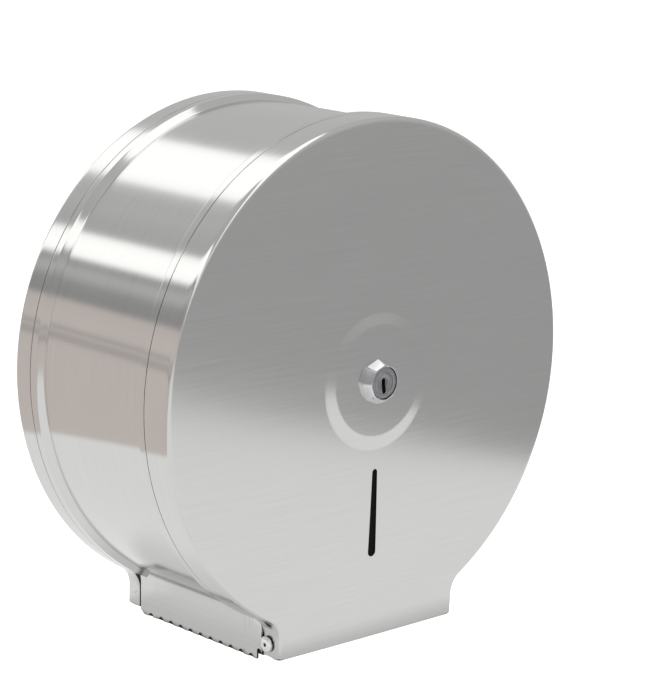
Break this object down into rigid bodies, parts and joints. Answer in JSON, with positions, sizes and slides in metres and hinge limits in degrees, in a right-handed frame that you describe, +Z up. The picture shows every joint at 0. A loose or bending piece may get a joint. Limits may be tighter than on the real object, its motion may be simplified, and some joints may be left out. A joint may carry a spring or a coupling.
{
  "type": "jumbo toilet roll dispenser",
  "caption": "Round wall-mounted dispenser for a large paper roll, with a hinged locking front cover, a turning hub and toothed cutting edges beside the mouth.",
  "frame": {"origin": "on the drum axis at the wall, which is the centre of the four wall screw holes on the rear face", "axes": "+Z up, +Y into the wall along the drum axis, front cover towards -Y, +X to the right seen from the front"},
  "size_m": [0.27, 0.1323, 0.2752],
  "materials": {
    "brushed_sheet": "brushed",
    "inner_sheet": "mill finish",
    "rivet_metal": "polished",
    "lock_chrome": "polished",
    "plug_metal": "satin",
    "zinc_plate": "zinc plated",
    "hub_plastic": "moulded",
    "washer_plastic": "moulded"
  },
  "bodies": {
    "housing": {"back_plate": "brushed_sheet", "drum_shell": "brushed_sheet", "shell_straps": "inner_sheet", "cutter_plate_left": "brushed_sheet", "cutter_plate_right": "brushed_sheet", "hinge_rivet_left": "rivet_metal", "hinge_rivet_right": "rivet_metal", "hinge_washers": "washer_plastic", "spindle_flange": "inner_sheet", "spindle_rivets": "rivet_metal", "spindle_tube": "inner_sheet", "latch_plate": "inner_sheet", "hub_washer": "washer_plastic", "hub_retainer": "inner_sheet"},
    "hub": {"roll_hub": "hub_plastic"},
    "cover": {"front_cover": "brushed_sheet", "lock_housing": "lock_chrome", "lock_washer": "zinc_plate", "lock_nut": "zinc_plate"},
    "plug": {"lock_plug": "plug_metal", "plug_clip": "zinc_plate", "lock_cam": "zinc_plate", "cam_washer": "zinc_plate", "cam_nut": "zinc_plate"}
  },
  "joints": [
    {"name": "cover_swing", "type": "hinge", "parent": "housing", "child": "cover", "pos_m": [0, -0.1153, -0.1308], "axis": [1, 0, 0], "range_deg": [0, 145]},
    {"name": "lock_turn", "type": "hinge", "parent": "cover", "child": "plug", "pos_m": [0, -0.12, 0], "axis": [0, 1, 0], "range_deg": [0, 90]},
    {"name": "hub_spin", "type": "hinge", "parent": "housing", "child": "hub", "pos_m": [0, -0.055, 0], "axis": [0, 1, 0], "continuous": true}
  ]
}
